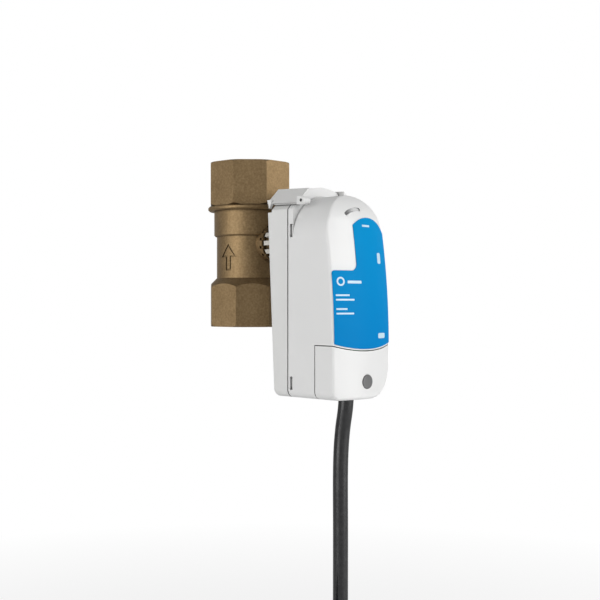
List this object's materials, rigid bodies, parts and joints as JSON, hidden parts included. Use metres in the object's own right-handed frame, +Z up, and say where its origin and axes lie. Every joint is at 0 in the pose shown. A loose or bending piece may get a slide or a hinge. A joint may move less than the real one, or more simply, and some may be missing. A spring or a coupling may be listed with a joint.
{
  "type": "smart water valve",
  "caption": "motorised two-way ball valve: brass body on a vertical pipe, clip-on electric actuator with release lever, position window, push button and mains lead",
  "frame": {"origin": "middle of the inlet mouth at the foot of the valve body", "axes": "+Z up along the pipe axis through the valve, -Y out along the stem axis to the actuator's front, +X to the actuator's right"},
  "size_m": [0.0909, 0.0796, 0.2416],
  "materials": {
    "cast_brass": "cast, lightly blasted",
    "ball_chrome": "polished",
    "stem_brass": "turned",
    "seat_plastic": "smooth",
    "seal_rubber": "matte",
    "gasket_rubber": "matte",
    "collar_plastic": "fine texture",
    "steel": "zinc plated",
    "case_grey": "fine satin",
    "case_white": "fine satin",
    "label_blue": "smooth",
    "window_clear": "clear",
    "pointer_grey": "smooth",
    "button_grey": "satin",
    "gear_plastic": "smooth",
    "socket_brass": "turned",
    "motor_steel": "drawn",
    "black_plastic": "moulded",
    "board_green": "lacquered",
    "terminal_green": "moulded",
    "capacitor_sleeve": "shrink sleeve",
    "grommet_rubber": "matte",
    "cable_jacket": "smooth matte",
    "core_brown": "smooth",
    "core_blue": "smooth",
    "core_green": "smooth",
    "core_mixed": "smooth",
    "ferrule_tin": "tinned"
  },
  "bodies": {
    "housing": {"board_screws": "steel", "cable": "cable_jacket", "cable_coil": "cable_jacket", "cable_grommet": "grommet_rubber", "cable_tie": "black_plastic", "capacitor": "capacitor_sleeve", "circuit_board": "board_green", "connector_seal": "seal_rubber", "controller_chip": "black_plastic", "earth_wire": "core_green", "end_connector": "cast_brass", "frame_pillars": "stem_brass", "frame_screws": "steel", "front_gear_plate": "steel", "front_housing": "case_white", "gear_pins": "steel", "housing_seal": "gasket_rubber", "indicator_window": "window_clear", "inlet_ball_seat": "seat_plastic", "label_panel": "label_blue", "limit_switches": "black_plastic", "line_wire": "core_brown", "motor_can": "motor_steel", "motor_screws": "steel", "neutral_wire": "core_blue", "outlet_ball_seat": "seat_plastic", "radio_module": "motor_steel", "rear_gear_plate": "steel", "rear_housing": "case_grey", "relay": "black_plastic", "retaining_clip": "steel", "snap_collar": "collar_plastic", "stem_washer": "seat_plastic", "switch_arms": "steel", "tact_switch": "black_plastic", "tail_ferrules": "ferrule_tin", "tail_wires": "core_mixed", "terminal_block": "terminal_green", "terminal_cover": "case_white", "terminal_screws": "steel", "valve_body": "cast_brass"},
    "ball_drive": {"ball": "ball_chrome", "stem": "stem_brass", "stem_o_rings": "seal_rubber", "drive_socket": "socket_brass", "output_gear": "gear_plastic", "switch_cam": "gear_plastic", "indicator_pointer": "pointer_grey"},
    "idler_two": {"idler_gear_two": "gear_plastic"},
    "idler_one": {"idler_gear_one": "gear_plastic"},
    "motor_rotor": {"motor_pinion": "socket_brass"},
    "lever": {"release_lever": "case_grey", "lever_pins": "steel"},
    "button": {"push_button": "button_grey"}
  },
  "joints": [
    {"name": "ball_turn", "type": "hinge", "parent": "housing", "child": "ball_drive", "pos_m": [0, 0, 0.0325], "axis": [0, 1, 0], "range_deg": [0, 90]},
    {"name": "idler_two_turn", "type": "hinge", "parent": "housing", "child": "idler_two", "pos_m": [0, 0, 0.0193], "axis": [0, 1, 0], "range_deg": [-240, 0]},
    {"name": "idler_one_turn", "type": "hinge", "parent": "housing", "child": "idler_one", "pos_m": [0, 0, 0.0067], "axis": [0, 1, 0], "range_deg": [0, 600]},
    {"name": "motor_turn", "type": "hinge", "parent": "housing", "child": "motor_rotor", "pos_m": [0, 0, -0.0059], "axis": [0, 1, 0], "range_deg": [-1500, 0]},
    {"name": "lever_lift", "type": "hinge", "parent": "housing", "child": "lever", "pos_m": [0, -0.0441, 0.0467], "axis": [1, 0, 0], "range_deg": [0, 40]},
    {"name": "button_press", "type": "slide", "parent": "housing", "child": "button", "axis": [0, 1, 0], "range_m": [0, 0.001], "stiffness_N_per_m": 600}
  ],
  "couplings": [
    {"joint": "idler_two_turn", "follows": "ball_turn", "ratio": -2.6667},
    {"joint": "idler_one_turn", "follows": "ball_turn", "ratio": 6.6667},
    {"joint": "motor_turn", "follows": "ball_turn", "ratio": -16.667}
  ]
}
